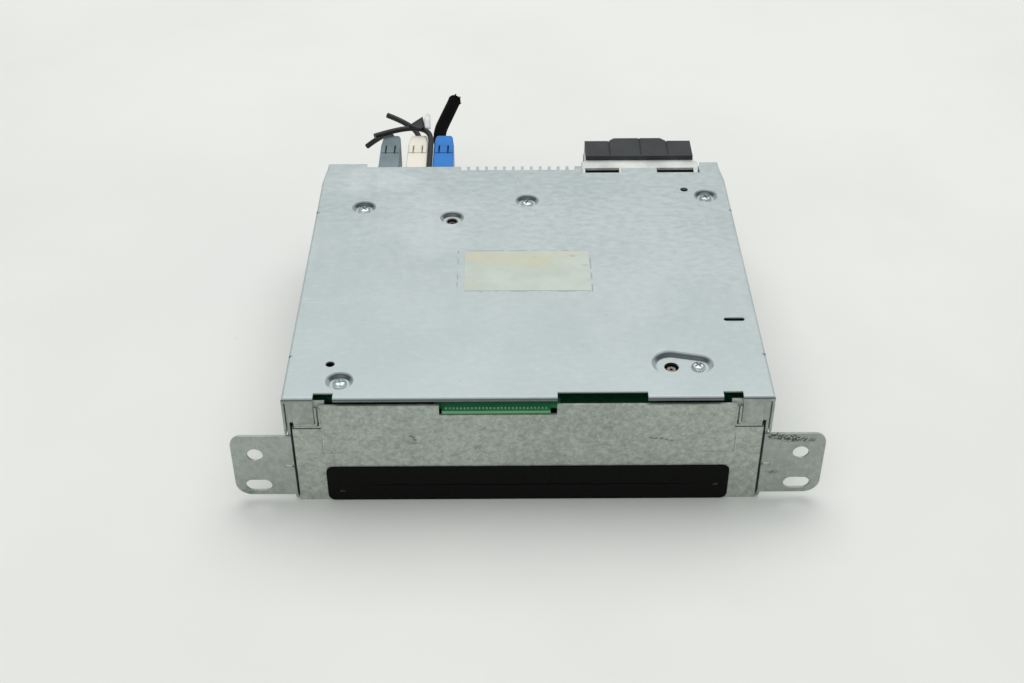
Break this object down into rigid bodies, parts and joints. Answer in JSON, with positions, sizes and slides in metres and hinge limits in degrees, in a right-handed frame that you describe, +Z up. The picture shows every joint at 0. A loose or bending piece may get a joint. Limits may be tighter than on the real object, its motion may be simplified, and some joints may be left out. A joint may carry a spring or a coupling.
{
  "type": "slot-loading car disc drive",
  "caption": "Slot-loading car disc drive in a folded sheet-steel case with mounting ears, felt-lined slot, full disc mechanism inside, and plugs with cut leads at the rear.",
  "frame": {"origin": "middle of the base's underside: centre of the drive's width and of its depth from the felt's face to the rear end of the main plug, cut leads not counted", "axes": "+X to the right seen from the front, +Y from the front plate to the rear connectors, +Z up, service side up as it lies in the picture"},
  "size_m": [0.222, 0.2513, 0.0501],
  "materials": {
    "cover_steel": "matt zinc-plated sheet steel, passivated",
    "front_steel": "matt zinc-plated sheet steel, seen in shade",
    "chassis_steel": "matt zinc-plated sheet steel",
    "black_felt": "dense short felt",
    "label_paper": "blank satin label stock",
    "screw_zinc": "yellowish zinc plating",
    "brass": "turned",
    "board_green": "solder-resist over glass fibre",
    "pad_gold": "tinned contact pads",
    "chip_black": "moulded epoxy",
    "can_aluminium": "bare drawn can",
    "header_natural": "natural nylon",
    "pin_tin": "tin-plated",
    "jack_black": "moulded",
    "plug_black": "moulded",
    "plug_grey": "moulded",
    "plug_cream": "moulded",
    "plug_blue": "moulded",
    "cable_black": "soft jacket",
    "tape_black": "cloth tape",
    "frame_steel": "zinc-plated sheet",
    "guide_black": "low-friction moulding",
    "gear_natural": "acetal",
    "roller_rubber": "soft rubber",
    "shaft_steel": "ground",
    "motor_steel": "drawn can",
    "lever_black": "moulded",
    "damper_rubber": "oil-filled rubber",
    "spring_steel": "spring wire",
    "deck_steel": "zinc-plated sheet",
    "table_black": "moulded",
    "pad_rubber": "thin ring",
    "sled_black": "glass-filled moulding",
    "lens_glass": "coated lens",
    "cable_flat": "polyimide"
  },
  "bodies": {
    "case": {"top_cover": "cover_steel", "chassis": "chassis_steel", "front_plate": "front_steel", "slot_felt": "black_felt", "blank_label": "label_paper", "cover_screws": "screw_zinc", "standoffs": "screw_zinc", "locating_studs": "brass", "case_screws": "screw_zinc", "main_board": "board_green", "board_pads": "pad_gold", "board_chips": "chip_black", "board_capacitors": "can_aluminium", "main_header": "header_natural", "connector_pins": "pin_tin", "jack_housings": "jack_black", "mech_frame": "frame_steel", "disc_guide": "guide_black", "roller_bushes": "gear_natural", "loading_motor": "motor_steel", "pivot_pins": "shaft_steel", "deck_dampers": "damper_rubber", "deck_springs": "spring_steel", "flat_cable": "cable_flat"},
    "roller": {"roller_shaft": "shaft_steel", "feed_roller": "roller_rubber", "roller_gear": "gear_natural"},
    "idler": {"idler_gear": "gear_natural"},
    "reduction": {"reduction_gear": "gear_natural"},
    "motor_rotor": {"motor_pinion": "brass"},
    "slider": {"mode_slider": "lever_black"},
    "slider_pinion": {"mode_pinion": "gear_natural"},
    "pinch": {"pinch_plate": "guide_black"},
    "ejector": {"eject_arm": "lever_black"},
    "right_lever": {"right_disc_lever": "lever_black"},
    "left_lever": {"left_disc_lever": "lever_black"},
    "deck": {"deck_plate": "deck_steel", "guide_rods": "shaft_steel", "clamp_pin": "shaft_steel", "spindle_stator": "motor_steel", "sled_motor": "motor_steel"},
    "rotor": {"turntable": "table_black", "turntable_pad": "pad_rubber"},
    "screw": {"lead_screw": "shaft_steel"},
    "optical_sled": {"sled": "sled_black"},
    "lens": {"lens_holder": "lever_black", "objective_lens": "lens_glass"},
    "clamp": {"clamp_arm": "deck_steel"},
    "puck": {"clamp_puck": "table_black"},
    "supply_plug": {"main_plug": "plug_black"},
    "grey_lead": {"plug_grey": "plug_grey", "coax_grey": "cable_black"},
    "cream_lead": {"plug_cream": "plug_cream", "coax_cream": "cable_black"},
    "blue_lead": {"plug_blue": "plug_blue", "coax_bundle": "cable_black", "coax_side": "cable_black", "tape_wrap": "tape_black"}
  },
  "joints": [
    {"name": "roller_spin", "type": "hinge", "parent": "case", "child": "roller", "pos_m": [-0.079, -0.085, 0.0127], "axis": [1, 0, 0], "continuous": true},
    {"name": "idler_spin", "type": "hinge", "parent": "case", "child": "idler", "pos_m": [-0.079, -0.07454, 0.0161], "axis": [1, 0, 0], "continuous": true},
    {"name": "reduction_spin", "type": "hinge", "parent": "case", "child": "reduction", "pos_m": [-0.078, -0.06532, 0.0184], "axis": [1, 0, 0], "continuous": true},
    {"name": "motor_spin", "type": "hinge", "parent": "case", "child": "motor_rotor", "pos_m": [-0.076, -0.054, 0.02039], "axis": [1, 0, 0], "continuous": true},
    {"name": "mode_slide", "type": "slide", "parent": "case", "child": "slider", "axis": [0, 1, 0], "range_m": [0, 0.008]},
    {"name": "mode_pinion_spin", "type": "hinge", "parent": "case", "child": "slider_pinion", "pos_m": [0.081, -0.0312, 0.02202], "axis": [1, 0, 0], "range_deg": [-5, 125]},
    {"name": "clamp_swing", "type": "hinge", "parent": "deck", "child": "clamp", "pos_m": [0, 0.0563, 0.005], "axis": [-1, 0, 0], "range_deg": [-0.1, 3]},
    {"name": "pinch_swing", "type": "hinge", "parent": "case", "child": "pinch", "pos_m": [0, -0.0922, 0.004], "axis": [-1, 0, 0], "range_deg": [0, 4], "stiffness_Nm_per_rad": 0.15, "springref_deg": -11.46},
    {"name": "eject_swing", "type": "hinge", "parent": "case", "child": "ejector", "pos_m": [-0.068, 0.0448, 0.008], "axis": [0, 0, -1], "range_deg": [0, 28]},
    {"name": "right_lever_swing", "type": "hinge", "parent": "case", "child": "right_lever", "pos_m": [0.064, -0.0552, 0.01], "axis": [0, 0, 1], "range_deg": [0, 22]},
    {"name": "left_lever_swing", "type": "hinge", "parent": "case", "child": "left_lever", "pos_m": [-0.064, -0.0552, 0.01], "axis": [0, 0, 1], "range_deg": [-22.5, 0.5]},
    {"name": "deck_float", "type": "slide", "parent": "case", "child": "deck", "axis": [0, 0, 1], "range_m": [-0.001, 0.001], "stiffness_N_per_m": 3000, "springref_m": 0.0005, "deforming": ["deck_dampers", "deck_springs"]},
    {"name": "turntable_spin", "type": "hinge", "parent": "deck", "child": "rotor", "pos_m": [0, -0.0122, 0.014], "axis": [0, 0, 1], "continuous": true},
    {"name": "puck_spin", "type": "hinge", "parent": "clamp", "child": "puck", "pos_m": [0, -0.0122, 0.005], "axis": [0, 0, 1], "continuous": true},
    {"name": "sled_slide", "type": "slide", "parent": "deck", "child": "optical_sled", "axis": [1, 0, 0], "range_m": [0, 0.034]},
    {"name": "lead_screw_spin", "type": "hinge", "parent": "deck", "child": "screw", "pos_m": [0, -0.0402, 0.017], "axis": [1, 0, 0], "continuous": true},
    {"name": "lens_focus", "type": "slide", "parent": "optical_sled", "child": "lens", "axis": [0, 0, 1], "range_m": [-0.0006, 0.0006], "stiffness_N_per_m": 60},
    {"name": "supply_plug_pull", "type": "slide", "parent": "case", "child": "supply_plug", "axis": [0, 1, 0], "range_m": [0, 0.016]},
    {"name": "grey_lead_pull", "type": "slide", "parent": "case", "child": "grey_lead", "axis": [0, 1, 0], "range_m": [0, 0.012]},
    {"name": "cream_lead_pull", "type": "slide", "parent": "case", "child": "cream_lead", "axis": [0, 1, 0], "range_m": [0, 0.012]},
    {"name": "blue_lead_pull", "type": "slide", "parent": "case", "child": "blue_lead", "axis": [0, 1, 0], "range_m": [0, 0.012]}
  ],
  "couplings": [
    {"joint": "idler_spin", "follows": "roller_spin", "ratio": -0.83333},
    {"joint": "reduction_spin", "follows": "roller_spin", "ratio": 1.4286},
    {"joint": "motor_spin", "follows": "roller_spin", "ratio": -5.1429},
    {"joint": "mode_pinion_spin", "follows": "mode_slide", "rad_per_m": 250},
    {"joint": "clamp_swing", "follows": "mode_slide", "rad_per_m": 6.3268},
    {"joint": "left_lever_swing", "follows": "right_lever_swing", "ratio": -1},
    {"joint": "lead_screw_spin", "follows": "sled_slide", "rad_per_m": 2094.4}
  ]
}
